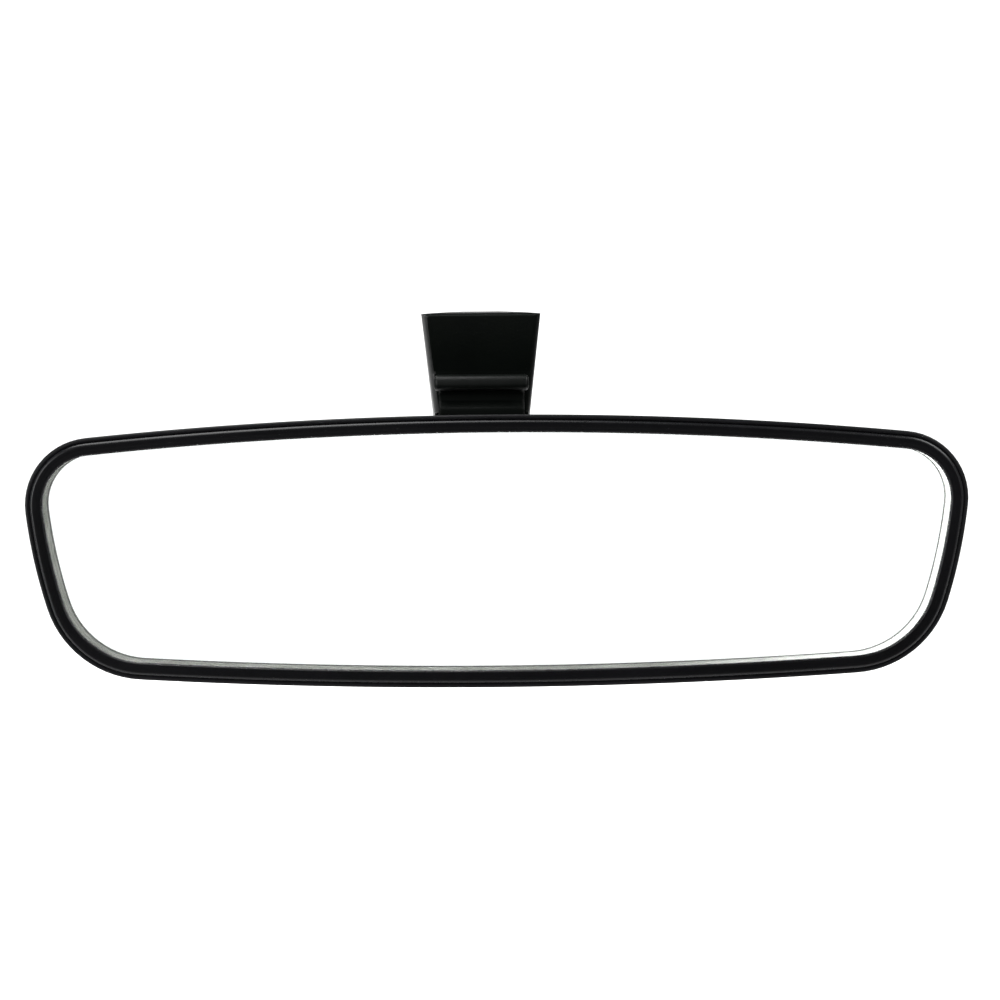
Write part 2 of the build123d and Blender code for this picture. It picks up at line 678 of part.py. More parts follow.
with BuildPart() as plate_screws:
    for x in (PLATE_SCREW_X, -PLATE_SCREW_X):
        top = pad_plane(CHANNEL_DEPTH)
        top = Plane(origin=top.origin + Vector(x, 0, 0), x_dir=(1, 0, 0), z_dir=top.z_dir)
        add(screw(top, PLATE_SCREW_HEAD, PLATE_SCREW_HEAD - PLATE_SCREW_R, PLATE_SCREW_R, PLATE_SCREW,
                  sunk=True))
save(plate_screws.part, "plate_screws")

with BuildPart() as lock_spring:
    side = Plane(origin=(0, 0, 0), x_dir=(0, COS_RAKE, -SIN_RAKE), z_dir=(1, 0, 0))
    start, end = SPRING_ENDS
    middle = (start + end) / 2
    floor = -CHANNEL_DEPTH
    with BuildSketch(side):
        with BuildLine():
            ThreePointArc((start, floor), (middle, floor + SPRING_BOW), (end, floor))
            Line((end, floor), (end, floor + SPRING_STRIP))
            ThreePointArc((end, floor + SPRING_STRIP), (middle, floor + SPRING_BOW + SPRING_STRIP),
                          (start, floor + SPRING_STRIP))
            Line((start, floor + SPRING_STRIP), (start, floor))
        make_face()
    extrude(amount=SPRING_HALF, both=True)
save(lock_spring.part, "lock_spring")
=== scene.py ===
"""Looks of an interior rearview mirror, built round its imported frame. Metres, in the frame's own axes."""
import json
import math

import bmesh
import bpy
from mathutils import Matrix, Vector


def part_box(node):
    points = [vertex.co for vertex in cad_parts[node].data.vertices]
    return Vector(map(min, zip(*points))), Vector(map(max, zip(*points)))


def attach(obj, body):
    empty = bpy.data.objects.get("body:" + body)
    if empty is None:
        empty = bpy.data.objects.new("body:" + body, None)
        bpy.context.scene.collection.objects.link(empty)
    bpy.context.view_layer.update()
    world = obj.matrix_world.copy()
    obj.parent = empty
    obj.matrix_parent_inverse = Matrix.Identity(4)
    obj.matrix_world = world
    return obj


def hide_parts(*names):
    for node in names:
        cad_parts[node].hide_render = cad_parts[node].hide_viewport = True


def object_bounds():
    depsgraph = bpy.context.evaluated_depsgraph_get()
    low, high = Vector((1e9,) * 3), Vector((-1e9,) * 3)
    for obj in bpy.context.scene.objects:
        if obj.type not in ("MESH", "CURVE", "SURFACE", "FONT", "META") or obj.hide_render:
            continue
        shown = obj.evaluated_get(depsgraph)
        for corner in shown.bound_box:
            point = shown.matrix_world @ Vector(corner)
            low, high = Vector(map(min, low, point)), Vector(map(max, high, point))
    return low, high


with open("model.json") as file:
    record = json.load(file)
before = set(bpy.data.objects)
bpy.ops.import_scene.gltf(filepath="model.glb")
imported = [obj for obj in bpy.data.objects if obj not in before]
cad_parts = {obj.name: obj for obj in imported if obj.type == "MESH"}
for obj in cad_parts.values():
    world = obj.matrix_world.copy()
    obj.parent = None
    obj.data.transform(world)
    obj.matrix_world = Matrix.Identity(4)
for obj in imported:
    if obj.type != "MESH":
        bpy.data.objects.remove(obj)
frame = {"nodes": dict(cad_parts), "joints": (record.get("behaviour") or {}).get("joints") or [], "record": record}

cad_low, cad_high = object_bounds()
MM = 0.001

# ---------------------------------------------------------------- places from the frame

bezel_low, bezel_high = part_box("front_bezel")
shell_low, shell_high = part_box("rear_shell")
glass_low, glass_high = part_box("mirror_glass")
FRONT = bezel_low.y                              # plane of the bezel's front face
HEAD = Vector(((bezel_low.x + bezel_high.x) / 2, FRONT, (shell_low.z + shell_high.z) / 2))
BALL = Vector(frame["joints"][0]["pos_m"])
PAD_NORMAL = Vector(frame["record"]["mounts"][0]["axis"])
PAD_DOWN = Vector((0, PAD_NORMAL.z, -PAD_NORMAL.y))
STUD_LIFT = math.radians(35)
STUD_AXIS = Vector((0, math.cos(STUD_LIFT), math.sin(STUD_LIFT)))

# The head's outline: eight tangent arcs, as on the CAD model. The sides would stand furthest out at
# WIDEST_Z, but the upper corners cut them short, by SIDE_CUT.
SIDE_CUT = 0.665 * MM
HALF_HEIGHT = (shell_high.z - shell_low.z) / 2
HALF_WIDTH = (shell_high.x - shell_low.x) / 2 + SIDE_CUT
WIDEST_Z = 26 * MM
TOP_RADIUS = 1130 * MM
BOTTOM_RADIUS = 1520 * MM
SIDE_RADIUS = 140 * MM
TOP_CORNER = 18 * MM
BOTTOM_CORNER = 27 * MM
EDGE_STEPS = 48
SIDE_STEPS = 12
CORNER_STEPS = 14


def crossing(first, first_radius, second, second_radius, upper):
    """The upper or the lower crossing of two circles."""
    gap = (second - first).length
    along = (first_radius**2 - second_radius**2 + gap**2) / (2 * gap)
    off = math.sqrt(first_radius**2 - along**2)
    unit = (second - first) / gap
    side = Vector((-unit.y, unit.x))
    points = [first + along * unit + sign * off * side for sign in (1, -1)]
    return max(points, key=lambda p: p.y) if upper else min(points, key=lambda p: p.y)


def bearing(centre, point):
    """Direction from centre to point, in radians."""
    return math.atan2(point.y - centre.y, point.x - centre.x)


def outline_arcs():
    """The outline's arcs, anticlockwise from the right end of the bottom edge.

    Each arc is its centre, radius, start, end and number of steps.
    """
    top = Vector((0, HALF_HEIGHT - TOP_RADIUS))
    bottom = Vector((0, BOTTOM_RADIUS - HALF_HEIGHT))
    side = Vector((HALF_WIDTH - SIDE_RADIUS, WIDEST_Z))
    upper = crossing(top, TOP_RADIUS - TOP_CORNER, side, SIDE_RADIUS - TOP_CORNER, True)
    lower = crossing(bottom, BOTTOM_RADIUS - BOTTOM_CORNER, side, SIDE_RADIUS - BOTTOM_CORNER, False)
    turns = [bearing(bottom, lower), bearing(side, lower), bearing(side, upper), bearing(top, upper)]
    right = [(lower, BOTTOM_CORNER, turns[0], turns[1], CORNER_STEPS),
             (side, SIDE_RADIUS, turns[1], turns[2], SIDE_STEPS),
             (upper, TOP_CORNER, turns[2], turns[3], CORNER_STEPS)]
    left = [(Vector((-centre.x, centre.y)), radius, math.pi - end, math.pi - start, steps)
            for centre, radius, start, end, steps in reversed(right)]
    over = (top, TOP_RADIUS, turns[3], math.pi - turns[3], EDGE_STEPS)
    under = (bottom, BOTTOM_RADIUS, -math.pi - turns[0], turns[0], EDGE_STEPS)
    return right + [over] + left + [under]


ARCS = outline_arcs()


def outline(inset):
    """Points of the head's outline moved inwards by inset, as (x, z) from the head's centre."""
    points = []
    for centre, radius, start, end, steps in ARCS:
        for i in range(steps):
            turn = start + (end - start) * i / steps
            points.append((centre.x + (radius - inset) * math.cos(turn),
                           centre.y + (radius - inset) * math.sin(turn)))
    return points


def head_ring(inset, depth):
    """Outline ring, inset from the head's outline and depth behind the bezel's front face."""
    return [Vector((HEAD.x + x, FRONT + depth, HEAD.z + z)) for x, z in outline(inset)]


# ---------------------------------------------------------------- mesh helpers

WELD = 1e-6                # corners closer than this are one
LEAST_ROUND = 0.08         # millimetres, smallest rounding left on a corner that was moved in
ROLL_STEPS = 5             # rings over a rolled end


def make_object(name, verts, faces, smooth=True):
    """Mesh object in the scene, shaded smooth or flat."""
    mesh = bpy.data.meshes.new(name)
    mesh.from_pydata([tuple(v) for v in verts], [], faces)
    mesh.update()
    obj = bpy.data.objects.new(name, mesh)
    bpy.context.scene.collection.objects.link(obj)
    tidy_normals(obj, smooth)
    return obj


def tidy_normals(obj, smooth):
    """Welds corners, turns faces outwards and shades them smooth or flat."""
    bm = bmesh.new()
    bm.from_mesh(obj.data)
    bmesh.ops.remove_doubles(bm, verts=bm.verts, dist=WELD)
    bmesh.ops.recalc_face_normals(bm, faces=bm.faces)
    for face in bm.faces:
        face.smooth = smooth
    bm.to_mesh(obj.data)
    bm.free()


def sharpen(obj, angle):
    """Keeps corners over the angle, in degrees, sharp under smooth shading."""
    obj.data.set_sharp_from_angle(angle=math.radians(angle))


def apply_modifiers(obj):
    """Replaces the object's mesh by what its modifiers make of it."""
    depsgraph = bpy.context.evaluated_depsgraph_get()
    mesh = bpy.data.meshes.new_from_object(obj.evaluated_get(depsgraph))
    old = obj.data
    obj.modifiers.clear()
    obj.data = mesh
    bpy.data.meshes.remove(old)


def boolean(obj, other, operation):
    """Joins another solid to obj, or cuts it out. The other solid is used up."""
    mod = obj.modifiers.new("cut", "BOOLEAN")
    mod.operation = operation
    mod.solver = "EXACT"
    mod.object = other
    apply_modifiers(obj)
    bpy.data.objects.remove(other)


def finish_piece(obj, body, slot, material, *nodes):
    """Material, body and the CAD nodes that the piece stands for. The slot argument is not used."""
    obj.data.materials.clear()
    obj.data.materials.append(material)
    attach(obj, body)
    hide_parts(*nodes)


def loft(name, rings, closed=False, cap_start=False, cap_end=False):
    """Skin over rings of equally many points. closed joins the last ring to the first."""
    count = len(rings[0])
    verts = [p for ring in rings for p in ring]
    faces = []
    spans = len(rings) if closed else len(rings) - 1
    for r in range(spans):
        a, b = r * count, ((r + 1) % len(rings)) * count
        for i in range(count):
            j = (i + 1) % count
            faces.append((a + i, a + j, b + j, b + i))
    if cap_start:
        faces.append(tuple(range(count))[::-1])
    if cap_end:
        last = (len(rings) - 1) * count
        faces.append(tuple(last + i for i in range(count)))
    return make_object(name, verts, faces)


def arc_points(centre, radius, start, end, steps):
    """Points on an arc in a profile's plane, angles in degrees."""
    turns = [math.radians(start + (end - start) * i / steps) for i in range(steps + 1)]
    return [(centre[0] + radius * math.cos(t), centre[1] + radius * math.sin(t)) for t in turns]


def smooth_curve(points, steps):
    """Catmull-Rom curve through a profile's points."""
    out = []
    padded = [points[0]] + points + [points[-1]]
    for a, b, c, d in zip(padded, padded[1:], padded[2:], padded[3:]):
        for i in range(steps):
            t = i / steps
            out.append(tuple(0.5 * (2 * q + (r - p) * t + (2 * p - 5 * q + 4 * r - s) * t * t
                                    + (3 * q - p - 3 * r + s) * t**3) for p, q, r, s in zip(a, b, c, d)))
    out.append(points[-1])
    return out


def revolve(name, profile, origin, axis, steps=64):
    """Solid of revolution round an axis that is square to X, through origin.

    The profile is a closed list of (radius, place along the axis).
    """
    axis = axis.normalized()
    across = Vector((1, 0, 0))
    up = axis.cross(across)
    rings = []
    for i in range(steps):
        turn = 2 * math.pi * i / steps
        out = across * math.cos(turn) + up * math.sin(turn)
        rings.append([origin + out * r + axis * a for r, a in profile])
    return loft(name, rings, closed=True)


def prism(name, profile, widths):
    """Solid between x = -width and +width over a closed (y, z) profile, with a width for each point."""
    count = len(profile)
    verts = [Vector((side * w, y, z)) for side in (-1, 1) for (y, z), w in zip(profile, widths)]
    faces = [tuple(range(count)), tuple(range(count, 2 * count))[::-1]]
    faces += [(i, (i + 1) % count, count + (i + 1) % count, count + i) for i in range(count)]
    return make_object(name, verts, faces, smooth=False)


def cuboid(name, low, high, matrix=Matrix.Identity(4)):
    """Box between two corners, turned by matrix, for cutting."""
    corners = [Vector((x, y, z)) for x in (low[0], high[0])
               for y in (low[1], high[1]) for z in (low[2], high[2])]
    faces = [(0, 1, 3, 2), (4, 6, 7, 5), (0, 4, 5, 1), (2, 3, 7, 6), (0, 2, 6, 4), (1, 5, 7, 3)]
    return make_object(name, [matrix @ c for c in corners], faces, smooth=False)


def moved_in(points, radii, inset):
    """Corners and roundings of a closed outline moved inwards by inset. The corners run anticlockwise."""
    count = len(points)
    places, rounds = [], []
    for i, radius in enumerate(radii):
        before, here, after = Vector(points[i - 1]), Vector(points[i]), Vector(points[(i + 1) % count])
        first, second = (here - before).normalized(), (after - here).normalized()
        left = Vector((-first.y, first.x)) + Vector((-second.y, second.x))
        half = left.normalized()
        places.append(here + half * inset / half.dot(Vector((-first.y, first.x))))
        convex = first.x * second.y - first.y * second.x > 0
        rounds.append(max(radius - inset, LEAST_ROUND) if convex else radius + inset)
    return places, rounds


def rounded(points, radii, steps=8):
    """Closed outline through points with each corner rounded to its radius."""
    out = []
    count = len(points)
    for i, (point, radius) in enumerate(zip(points, radii)):
        here = Vector(point)
        back = (Vector(points[i - 1]) - here).normalized()
        on = (Vector(points[(i + 1) % count]) - here).normalized()
        half = math.acos(max(-1, min(1, back.dot(on)))) / 2
        reach = radius / math.tan(half)
        centre = here + (back + on).normalized() * radius / math.sin(half)
        first, last = here + back * reach - centre, here + on * reach - centre
        sweep = math.atan2(first.x * last.y - first.y * last.x, first.dot(last))
        for k in range(steps + 1):
            turn = sweep * k / steps
            c, s = math.cos(turn), math.sin(turn)
            out.append(centre + Vector((first.x * c - first.y * s, first.x * s + first.y * c)))
    return [(p.x, p.y) for p in out]


def soft_prism(name, points, radii, half, soft):
    """Solid over a rounded (y, z) outline, between x = -half and +half, with its ends rolled over by soft.

    All sizes are in millimetres.
    """
    rings = []
    for side in (-1, 1):
        turns = [math.pi / 2 * i / ROLL_STEPS for i in range(ROLL_STEPS + 1)]
        turns = turns if side > 0 else turns[::-1]
        for turn in turns:
            places, rounds = moved_in(points, radii, soft * (1 - math.cos(turn)))
            x = side * (half - soft + soft * math.sin(turn)) * MM
            rings.append([Vector((x, y * MM, z * MM)) for y, z in rounded(places, rounds)])
    return loft(name, rings, cap_start=True, cap_end=True)


# ---------------------------------------------------------------- materials


class Nodes:
    """A new node material with short calls for adding and joining nodes."""

    def __init__(self, name):
        self.material = bpy.data.materials.new(name)
        self.material.use_nodes = True
        self.tree = self.material.node_tree
        self.shader = self.tree.nodes["Principled BSDF"]
        self.place = self.add("ShaderNodeTexCoord").outputs["Object"]

    def add(self, kind, **values):
        """A new node, with values for its inputs or its settings."""
        node = self.tree.nodes.new(kind)
        for key, value in values.items():
            if key in node.inputs:
                node.inputs[key].default_value = value
            else:
                setattr(node, key, value)
        return node

    def join(self, source, target):
        self.tree.links.new(source, target)

    def set(self, **values):
        """Values for the shader's own inputs, with underscores for the spaces in their names."""
        for key, value in values.items():
            self.shader.inputs[key.replace("_", " ")].default_value = value

    def noise(self, scale, detail, roughness=0.5):
        node = self.add("ShaderNodeTexNoise", Scale=scale, Detail=detail, Roughness=roughness)
        self.join(self.place, node.inputs["Vector"])
        return node.outputs["Fac"]

    def cells(self, scale):
        node = self.add("ShaderNodeTexVoronoi", Scale=scale, feature="SMOOTH_F1")
        self.join(self.place, node.inputs["Vector"])
        return node.outputs["Distance"]

    def spread(self, factor, low, high, start=0.3, end=0.7):
        """The factor's range from start to end, spread over low to high."""
        node = self.add("ShaderNodeMapRange")
        node.inputs["From Min"].default_value = start
        node.inputs["From Max"].default_value = end
        node.inputs["To Min"].default_value = low
        node.inputs["To Max"].default_value = high
        self.join(factor, node.inputs["Value"])
        return node.outputs["Result"]

    def blend(self, factor, low, high):
        """A colour between low and high."""
        node = self.add("ShaderNodeMix", data_type="RGBA")
        colours = [s for s in node.inputs if s.type == "RGBA"]
        colours[0].default_value = (*low, 1)
        colours[1].default_value = (*high, 1)
        self.join(factor, node.inputs["Factor"])
        return [s for s in node.outputs if s.type == "RGBA"][0]

    def bump(self, height, strength, distance, normal=None):
        node = self.add("ShaderNodeBump", Strength=strength, Distance=distance)
        self.join(height, node.inputs["Height"])
        if normal:
            self.join(normal, node.inputs["Normal"])
        return node.outputs["Normal"]

    def finish(self, colour=None, roughness=None, normal=None):
        """Joins what is given to the shader and returns the material."""
        for source, name in ((colour, "Base Color"), (roughness, "Roughness"), (normal, "Normal")):
            if source is not None:
                self.join(source, self.shader.inputs[name])
        return self.material


def black_plastic(name, dark, light, smooth, rough, grain, depth, specular):
    """Moulded black plastic: fine grain, faint mould flow and roughness that varies a little."""
    n = Nodes(name)
    flow = n.noise(scale=35, detail=3, roughness=0.55)
    wear = n.noise(scale=420, detail=4, roughness=0.6)
    pits = n.cells(grain)
    colour = n.blend(n.spread(flow, 0, 1), dark, light)
    roughness = n.spread(wear, smooth, rough)
    waves = n.bump(flow, strength=0.10, distance=0.00010)
    normal = n.bump(pits, strength=0.35, distance=depth, normal=waves)
    n.set(Specular_IOR_Level=specular)
    return n.finish(colour, roughness, normal)


def plated_metal(name, dark, light, smooth, rough):
    """Tumbled steel, zinc-plated or bare, with a cloudy tone."""
    n = Nodes(name)
    cloud = n.noise(scale=160, detail=4, roughness=0.6)
    grain = n.noise(scale=1500, detail=3, roughness=0.6)
    colour = n.blend(n.spread(cloud, 0, 1), dark, light)
    roughness = n.spread(grain, smooth, rough)
    n.set(Metallic=1.0)
    return n.finish(colour, roughness, n.bump(grain, strength=0.12, distance=0.00004))


def soft_material(name, dark, light, cell, depth):
    """Foam, rubber or film with fine open cells."""
    n = Nodes(name)
    cells = n.cells(cell)
    tone = n.noise(scale=220, detail=3)
    n.set(Specular_IOR_Level=0.25)
    colour = n.blend(n.spread(tone, 0, 1), dark, light)
    roughness = n.spread(tone, 0.75, 0.92)
    return n.finish(colour, roughness, n.bump(cells, strength=0.5, distance=depth))


def acetal_material():
    """Off-white acetal that lets a little light in."""
    n = Nodes("acetal")
    tone = n.noise(scale=260, detail=3)
    n.set(Subsurface_Weight=0.15, Subsurface_Scale=0.002)
    colour = n.blend(n.spread(tone, 0, 1), (0.74, 0.73, 0.68), (0.84, 0.83, 0.79))
    roughness = n.spread(tone, 0.28, 0.4)
    return n.finish(colour, roughness, n.bump(tone, strength=0.08, distance=0.00005))


def clear_glass():
    """Polished float glass, very slightly green and dusty."""
    n = Nodes("clear_glass")
    dust = n.noise(scale=900, detail=5, roughness=0.7)
    n.set(Transmission_Weight=1.0, IOR=1.52, Base_Color=(0.985, 0.995, 0.99, 1))
    return n.finish(roughness=n.spread(dust, 0.0, 0.012, start=0.55, end=0.8))


def ground_edge():
    """Ground glass edge with painted light: grey to the left, painted almost white towards the right end."""
    painted_light_start, painted_light_end = 0.05, 0.105
    n = Nodes("ground_glass_edge_painted_light")
    grit = n.noise(scale=5200, detail=4, roughness=0.7)
    split = n.add("ShaderNodeSeparateXYZ")
    n.join(n.place, split.inputs["Vector"])
    tone_and_painted_light = n.add("ShaderNodeMath", operation="ADD")
    n.join(n.spread(n.noise(scale=90, detail=3), 0, 0.1), tone_and_painted_light.inputs[0])
    # Painted light: the edge's colour turns almost white towards its right end, along X.
    n.join(n.spread(split.outputs["X"], 0, 0.9, painted_light_start, painted_light_end), tone_and_painted_light.inputs[1])
    n.set(Specular_IOR_Level=0.3)
    colour = n.blend(tone_and_painted_light.outputs["Value"], (0.14, 0.147, 0.127), (0.97, 0.98, 0.95))
    roughness = n.spread(grit, 0.6, 0.85)
    return n.finish(colour, roughness, n.bump(grit, strength=0.4, distance=0.00006))


def silver_coat():
    """Bright silvering with a trace of haze."""
    n = Nodes("silver_coat")
    haze = n.noise(scale=60, detail=4, roughness=0.6)
    n.set(Metallic=1.0, Base_Color=(0.965, 0.97, 0.968, 1))
    return n.finish(roughness=n.spread(haze, 0.0, 0.006, start=0.5, end=0.8))


# The foot is one black. Its lip and left cheek get shinier copies of it as painted highlights, the cheek also a
# lighter colour, and its underside a copy without shine as painted shade.
FOOT_DARK = (0.0005, 0.0007, 0.0006)
FOOT_LIGHT = (0.0009, 0.0012, 0.0010)

# Painted shade: the bezel's front face gets a darker, less shiny copy of the bezel's black.
FACE_PAINTED_SHADE = black_plastic("bezel_face_painted_shade", (0.0005, 0.0005, 0.0006), (0.0009, 0.0009, 0.0011),
                           smooth=0.30, rough=0.40, grain=5200, depth=0.00002, specular=0.02)
GLOSS_BLACK = black_plastic("bezel_plastic", (0.0006, 0.0006, 0.0008), (0.0010, 0.0010, 0.0013),
                            smooth=0.24, rough=0.32, grain=5200, depth=0.00002, specular=0.07)
SHELL_BLACK = black_plastic("shell_plastic", (0.0008, 0.0008, 0.0010), (0.0014, 0.0014, 0.0017),
                            smooth=0.38, rough=0.50, grain=2600, depth=0.00005, specular=0.04)
FOOT_BLACK = black_plastic("foot_plastic", FOOT_DARK, FOOT_LIGHT,
                           smooth=0.34, rough=0.46, grain=2600, depth=0.00004, specular=0.012)
# Painted highlight on the lip: the foot's black, made shinier.
LIP_PAINTED_HIGHLIGHT = black_plastic("foot_lip_painted_highlight", FOOT_DARK, FOOT_LIGHT,
                          smooth=0.36, rough=0.48, grain=2600, depth=0.00004, specular=0.05)
# Painted highlight on the left cheek: lighter and much shinier than the foot's black.
CHEEK_PAINTED_HIGHLIGHT = black_plastic("foot_cheek_painted_highlight", (0.0006, 0.0008, 0.0007), (0.0010, 0.0013, 0.0011),
                            smooth=0.30, rough=0.40, grain=2600, depth=0.00004, specular=0.25)
# Painted shade on the underside: the foot's black without shine.
UNDER_PAINTED_SHADE = black_plastic("foot_underside_painted_shade", FOOT_DARK, FOOT_LIGHT,
                            smooth=0.45, rough=0.55, grain=2600, depth=0.00004, specular=0.0)
INNER_BLACK = black_plastic("carrier_plastic", (0.020, 0.020, 0.022), (0.035, 0.035, 0.038),
                            smooth=0.45, rough=0.6, grain=1800, depth=0.00006, specular=0.4)
CASTING = black_plastic("casting_paint", (0.010, 0.010, 0.011), (0.018, 0.018, 0.020),
                        smooth=0.38, rough=0.55, grain=1300, depth=0.00012, specular=0.45)
ZINC = plated_metal("zinc_plate", (0.30, 0.30, 0.29), (0.44, 0.44, 0.42), smooth=0.28, rough=0.42)
SPRING = plated_metal("spring_steel", (0.16, 0.16, 0.17), (0.30, 0.30, 0.31), smooth=0.30, rough=0.45)
ACETAL = acetal_material()
FOAM = soft_material("foam_tape", (0.03, 0.03, 0.03), (0.06, 0.06, 0.06), cell=3500, depth=0.0002)
RUBBER = soft_material("gasket_rubber", (0.010, 0.010, 0.010), (0.022, 0.022, 0.022),
                       cell=3000, depth=0.0001)
FILM = soft_material("safety_film", (0.03, 0.03, 0.035), (0.05, 0.05, 0.055), cell=900, depth=0.00004)
CLEAR = clear_glass()
GROUND = ground_edge()
SILVER = silver_coat()

SLOT_MATERIALS = {
    "glass": CLEAR, "silver": SILVER, "film": FILM, "foam": FOAM, "carrier_plastic": INNER_BLACK,
    "plated_steel": ZINC, "spring_steel": SPRING, "acetal": ACETAL, "bezel_plastic": GLOSS_BLACK,
    "shell_plastic": SHELL_BLACK, "foot_plastic": FOOT_BLACK, "casting": CASTING, "gasket_rubber": RUBBER}

for part in frame["record"]["subparts"]:
    node = frame["nodes"][part["node"]]
    node.data.materials.clear()
    node.data.materials.append(SLOT_MATERIALS[part["material_slot"]])

# ---------------------------------------------------------------- head: bezel, glass, shell

# Sections through the head's edge, in millimetres: insets from the outline, depths behind the front.
BEZEL_INSET = 1.35
BEZEL_ROUND = 1.05
BEZEL_WALL_INSET = 2.3
BEZEL_INNER_INSET = 4.1
BEZEL_BACK = 8.0
CROWN_STEP = 0.166         # the front face falls back towards the glass, a little more at each step
CROWN_FALL = 0.003
CROWN_STEPS = 8
LIP_CENTRE = (4.1, 0.8)
LIP_ROUND = 0.6
LIP_BACK = [(4.7, 1.1), (4.7, 1.55), (4.62, 1.6), (BEZEL_INNER_INSET, 1.62)]
# The front face, told by its normals, carries the painted shade.
FLAT_FRONT = -0.94         # normals with a smaller Y belong to the bezel's front face

GLASS_INSET = 4.4
GLASS_ARRIS = 0.18
SILVER_GAP = 0.03

SHELL_STEP = 3.2
SHELL_RIM = (0.6, 1.5)
SHELL_RIM_ROUND = 0.6
SHELL_OUTSIDE = [(0, 2.4), (0.3, 6), (1.5, 12), (4.2, 18), (8, 22.5), (11, 24.5), (14.5, 25)]
SHELL_INSIDE = [(15.5, 23), (10, 20.8), (6.2, 17), (3.4, 12), (2.2, 8), (2.0, 3.4), (1.2, 3.3), (1.2, 1.2)]
WALL_MIDDLE = 24           # depth of the middle of the shell's back wall

# The dome round the ball, in millimetres, and the half angle of its opening for the stud.
DOME_R = 13.5
DOME_IN_R = 11.5
DOME_DEPTH = 14
DOME_POLE = 85             # latitude of the dome's first ring
APERTURE = 48
APERTURE_DEPTH = 18
CUT_HALF_WIDTH = 50
CUT_REACH = 60


def profile_rings(profile):
    """Head rings for a profile of (inset, depth) in millimetres."""
    return [head_ring(inset * MM, depth * MM) for inset, depth in profile]


def make_bezel():
    """Ring round the glass: rounded outside, lightly crowned in front, with a lip over the glass."""
    face_inset = BEZEL_INSET + BEZEL_ROUND
    profile = [(BEZEL_INSET, SHELL_STEP)]
    profile += arc_points((face_inset, BEZEL_ROUND), BEZEL_ROUND, 180, 270, 10)
    profile += [(face_inset + CROWN_STEP * i, CROWN_FALL * i * i) for i in range(1, CROWN_STEPS + 1)]
    profile += arc_points(LIP_CENTRE, LIP_ROUND, 285, 360, 7)
    profile += LIP_BACK
    profile += [(BEZEL_INNER_INSET, BEZEL_BACK), (BEZEL_WALL_INSET, BEZEL_BACK)]
    profile += [(BEZEL_WALL_INSET, SHELL_STEP)]
    ring = loft("bezel", profile_rings(profile), closed=True)
    sharpen(ring, angle=40)
    finish_piece(ring, "head", "bezel_plastic", GLOSS_BLACK, "front_bezel")
    # Painted shade: faces turned to the front get the darker, duller copy.
    ring.data.materials.append(FACE_PAINTED_SHADE)
    for face in ring.data.polygons:
        face.material_index = 1 if face.normal.y < FLAT_FRONT else 0


def make_glass():
    """Clear plate with polished faces, a small arris and a ground edge."""
    front = (glass_low.y - FRONT) / MM
    back = (glass_high.y - FRONT) / MM - SILVER_GAP
    profile = [(GLASS_INSET + GLASS_ARRIS, front), (GLASS_INSET, front + GLASS_ARRIS),
               (GLASS_INSET, back - GLASS_ARRIS), (GLASS_INSET + GLASS_ARRIS, back)]
    plate = loft("glass_plate", profile_rings(profile), cap_start=True, cap_end=True)
    finish_piece(plate, "head", "glass", CLEAR, "mirror_glass")
    plate.data.materials.append(GROUND)
    for face in plate.data.polygons:
        on_edge = len(face.vertices) == 4
        face.material_index = 1 if on_edge else 0
        face.use_smooth = on_edge
    sharpen(plate, angle=30)


def dome_solid(name, radius, steps):
    """Half a ball round the ball's centre, on a post that runs back along the stud's axis."""
    profile = [(0, radius)] + arc_points((0, 0), radius, DOME_POLE, 0, steps)
    profile += [(radius, -DOME_DEPTH), (0, -DOME_DEPTH)]
    return revolve(name, [(r * MM, a * MM) for r, a in profile], BALL, STUD_AXIS)


def make_shell():
    """Thin hollow shell with a rolled rim, and a dome with an opening for the stud."""
    outside = arc_points(SHELL_RIM, SHELL_RIM_ROUND, 270, 180, 6) + smooth_curve(SHELL_OUTSIDE, 6)
    skin = loft("shell", profile_rings(outside), cap_end=True)
    lining = loft("shell_lining", profile_rings(SHELL_INSIDE), cap_start=True)
    bm = bmesh.new()
    bm.from_mesh(skin.data)
    bm.from_mesh(lining.data)
    bpy.data.objects.remove(lining)
    rims = [e for e in bm.edges if e.is_boundary]
    bmesh.ops.bridge_loops(bm, edges=rims)
    bmesh.ops.recalc_face_normals(bm, faces=bm.faces)
    bm.to_mesh(skin.data)
    bm.free()
    boss = dome_solid("boss", DOME_R, 20)
    reach = CUT_REACH * MM
    front_cut = cuboid("front_cut", (-CUT_HALF_WIDTH * MM, BALL.y - reach, BALL.z - reach),
                       (CUT_HALF_WIDTH * MM, FRONT + WALL_MIDDLE * MM, BALL.z + reach))
    boolean(boss, front_cut, "DIFFERENCE")
    boolean(skin, boss, "UNION")
    boolean(skin, dome_solid("hollow", DOME_IN_R, 16), "DIFFERENCE")
    deep = APERTURE_DEPTH * MM
    wide = deep * math.tan(math.radians(APERTURE))
    cone = revolve("cone", [(0, 0), (wide, deep), (0, deep)], BALL, STUD_AXIS)
    boolean(skin, cone, "DIFFERENCE")
    for face in skin.data.polygons:
        face.use_smooth = True
    sharpen(skin, angle=32)
    finish_piece(skin, "head", "shell_plastic", SHELL_BLACK, "rear_shell")


make_bezel()
make_glass()
make_shell()

# ---------------------------------------------------------------- foot: housing and neck cover

